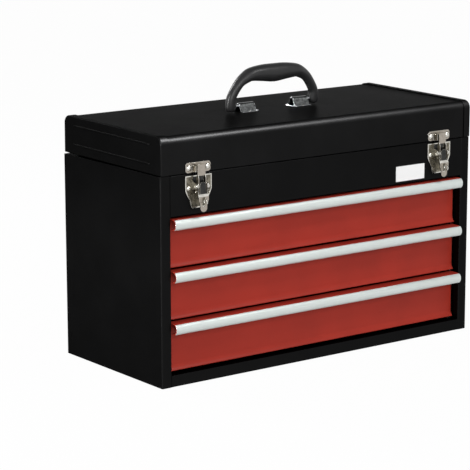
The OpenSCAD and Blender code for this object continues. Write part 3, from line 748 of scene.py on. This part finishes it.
class TOOLBOX_OT_latches(bpy.types.Operator):
    """Draw latches: plates, levers, claws, keepers, staples and rivets"""

    bl_idname = "toolbox.latches"
    bl_label = "Latches"

    def execute(self, context):
        sizes = context.scene.tool_box_sizes
        finished_node("latch_plates", sizes.plate_radius, tone=plate_tone,
                      finishes=LATCH_FINISHES, cut=cut_claw_shade)
        finished_node("latch_keepers", sizes.plate_radius, tone=keeper_tone,
                      finishes=LATCH_FINISHES)
        for node in ("padlock_staples", "latch_pivots", "body_rivets"):
            finished_node(node, sizes.plate_radius)
        for side, sign in SIDES:
            finished_node("latch_lever_" + side, sizes.plate_radius, tone=lever_tone,
                          finishes=LATCH_FINISHES)
            finished_node("latch_claw_" + side, sizes.plate_radius, tone=claw_tone,
                          finishes=LATCH_FINISHES)
            finished_node("claw_pin_" + side, sizes.burr)
        return {"FINISHED"}


# ---- drawers ------------------------------------------------------------------------


class TOOLBOX_OT_drawers(bpy.types.Operator):
    """Three drawers with rolled pulls and bright strips"""

    bl_idname = "toolbox.drawers"
    bl_label = "Drawers"

    def execute(self, context):
        sizes = context.scene.tool_box_sizes
        for i in DRAWERS:
            finished_node(f"drawer_tray_{i}", sizes.burr)
            finished_node(f"drawer_front_{i}", sizes.burr)
            finished_node(f"drawer_trim_{i}", sizes.burr, tone=lambda face: 1,
                          finishes=("trim_edge", "bright_trim"))
        return {"FINISHED"}


class TOOLBOX_OT_slides(bpy.types.Operator):
    """Ball slides: rails, cages and balls"""

    bl_idname = "toolbox.slides"
    bl_label = "Slides"

    def execute(self, context):
        sizes = context.scene.tool_box_sizes
        for i in DRAWERS:
            finished_node(f"slide_rails_{i}", sizes.burr)
            finished_node(f"ball_cages_{i}", sizes.burr)
            finished_node(f"slide_balls_{i}")
        return {"FINISHED"}


# ---- studio -------------------------------------------------------------------------


FLOOR_SIZE = 30
FLOOR_GREY = 0.5
FLOOR_WHITE = 0.98
CEILING_HEIGHTS = (0.35, 0.6)
CEILING_STRENGTH = 0.25

def seen_directly(shader):
    """1 for rays from the camera, off a mirror or through glass, else 0."""
    camera, glossy, through = (
        shader.node("ShaderNodeLightPath", output=name)
        for name in ("Is Camera Ray", "Is Glossy Ray", "Is Transmission Ray"))
    return shader.node("ShaderNodeMath", {"operation": "ADD", "use_clamp": True},
                       {0: camera + glossy, 1: through})


def make_floor():
    """A pale floor that shows white and keeps a faint shadow of the box."""
    bm = bmesh.new()
    bmesh.ops.create_grid(bm, x_segments=1, y_segments=1, size=FLOOR_SIZE)
    mesh = bpy.data.meshes.new("studio_floor")
    bm.to_mesh(mesh)
    bm.free()
    mat = bpy.data.materials.new("studio_floor")
    s = Shader(mat)
    pale = s.node("ShaderNodeBsdfDiffuse", None,
                  {"Color": (FLOOR_GREY, FLOOR_GREY, FLOOR_GREY, 1)})
    white = s.node("ShaderNodeEmission", None, {"Color": (1, 1, 1, 1), "Strength": 1.0})
    share = seen_directly(s) * FLOOR_WHITE
    s.finish(s.node("ShaderNodeMixShader", None, {0: share, 1: pale, 2: white}))
    mesh.materials.append(mat)
    floor = bpy.data.objects.new("studio_floor", mesh)
    bpy.context.scene.collection.objects.link(floor)


def make_world(ambient):
    """Soft light from all round, where it is seen white up to a darker ceiling."""
    world = bpy.data.worlds.new("studio")
    bpy.context.scene.world = world
    s = Shader(world)
    way = s.node("ShaderNodeTexCoord", output="Generated")
    height = s.node("ShaderNodeSeparateXYZ", None, {0: way}, output="Z")
    seen = s.ramp(height, *CEILING_HEIGHTS, 1.0, CEILING_STRENGTH)
    direct = seen_directly(s)
    strength = direct * seen + (1.0 - direct) * ambient
    s.finish(s.node("ShaderNodeBackground", None,
                    {"Color": (1, 1, 1, 1), "Strength": strength}), "ShaderNodeOutputWorld")


BOX_MIDDLE = (CAD_BOX[0] + CAD_BOX[1]) / 2
LEFT_END_FOOT = (-0.25, 0.3, 0.06)
OVER_FRONT = (0.5, -0.96, 1.5)
OVER_FRONT_SIZE = (0.5, 0.36)
# Each soft box: its name and that of its power, its place, its aim and its size.
SOFT_BOXES = (
    ("key", OVER_FRONT, BOX_MIDDLE, OVER_FRONT_SIZE),
    ("roll_light", OVER_FRONT, BOX_MIDDLE, OVER_FRONT_SIZE),
    ("fill", (-0.9, -2.5, 1.0), BOX_MIDDLE, (1.6, 1.6)),
    ("strip", (-2.0, -0.1, 0.5), BOX_MIDDLE, (0.12, 1.0)),
    ("kicker", (-0.7, 1.6, 1.35), BOX_MIDDLE, (0.5, 0.5)),
    ("side", (-0.62, 0.3, 0.03), LEFT_END_FOOT, (0.9, 0.05)),
)
# The pieces that a soft box lights alone.
LIT_ALONE = {
    "roll_light": ("lid_skin_finished", "lid_cap_left_finished", "lid_cap_right_finished"),
}


def add_soft_box(name, place, aim, size, power):
    """An area lamp that points from its place to an aim."""
    data = bpy.data.lights.new(name, "AREA")
    data.shape = "RECTANGLE"
    data.size, data.size_y = size
    data.energy = power
    lamp = bpy.data.objects.new(name, data)
    lamp.location = place
    lamp.rotation_euler = (Vector(aim) - Vector(place)).to_track_quat("-Z", "Y").to_euler()
    lamp.visible_camera = False
    if name in LIT_ALONE:
        lit = bpy.data.collections.new(name)
        for piece in LIT_ALONE[name]:
            lit.objects.link(bpy.data.objects[piece])
        lamp.light_linking.receiver_collection = lit
    bpy.context.scene.collection.objects.link(lamp)


def add_camera(studio):
    """The camera at the photograph's place."""
    data = bpy.data.cameras.new("camera")
    data.sensor_width = 36
    data.lens = studio.lens
    camera = bpy.data.objects.new("camera", data)
    camera.location = studio.eye
    turn = Matrix.Rotation(-studio.turn, 3, "Z") @ Matrix.Rotation(
        math.radians(90) - studio.dip, 3, "X") @ Matrix.Rotation(studio.roll, 3, "Z")
    camera.rotation_euler = turn.to_euler()
    bpy.context.scene.collection.objects.link(camera)
    bpy.context.scene.camera = camera


class TOOLBOX_OT_studio(bpy.types.Operator):
    """Camera, floor, world and soft boxes"""

    bl_idname = "toolbox.studio"
    bl_label = "Studio"

    def execute(self, context):
        studio = context.scene.tool_box_studio
        add_camera(studio)
        make_floor()
        make_world(studio.ambient)
        context.scene.view_settings.view_transform = "Standard"
        for name, place, aim, size in SOFT_BOXES:
            add_soft_box(name, place, aim, size, getattr(studio, name))
        return {"FINISHED"}


# ---- panel and registration ---------------------------------------------------------

GROUPS = (
    ("tool_box_sizes", ToolBoxSizes),
    ("tool_box_finish", ToolBoxFinish),
    ("tool_box_studio", ToolBoxStudio),
)
OPERATORS = (
    TOOLBOX_OT_cabinet,
    TOOLBOX_OT_plate,
    TOOLBOX_OT_hinge,
    TOOLBOX_OT_lid,
    TOOLBOX_OT_handle,
    TOOLBOX_OT_latches,
    TOOLBOX_OT_drawers,
    TOOLBOX_OT_slides,
    TOOLBOX_OT_studio,
)


class TOOLBOX_PT_sidebar(bpy.types.Panel):
    """Lists the steps that dress the tool box, and their settings"""

    bl_idname = "TOOLBOX_PT_sidebar"
    bl_label = "Tool box"
    bl_space_type = "VIEW_3D"
    bl_region_type = "UI"
    bl_category = "Tool box"

    def draw(self, context):
        layout = self.layout
        for attribute, group in GROUPS:
            settings = getattr(context.scene, attribute)
            for name in group.__annotations__:
                layout.prop(settings, name)
        for operator in OPERATORS:
            layout.operator(operator.bl_idname)


def register():
    """Adds the property groups, operators and panel."""
    for attribute, group in GROUPS:
        bpy.utils.register_class(group)
        setattr(bpy.types.Scene, attribute, bpy.props.PointerProperty(type=group))
    for operator in OPERATORS:
        bpy.utils.register_class(operator)
    bpy.utils.register_class(TOOLBOX_PT_sidebar)


def unregister():
    """Removes them again."""
    bpy.utils.unregister_class(TOOLBOX_PT_sidebar)
    for operator in reversed(OPERATORS):
        bpy.utils.unregister_class(operator)
    for attribute, group in reversed(GROUPS):
        delattr(bpy.types.Scene, attribute)
        bpy.utils.unregister_class(group)


def main():
    """Builds the dressed tool box."""
    register()
    for operator in OPERATORS:
        group, name = operator.bl_idname.split(".")
        getattr(getattr(bpy.ops, group), name)()


if __name__ == "__main__":
    main()
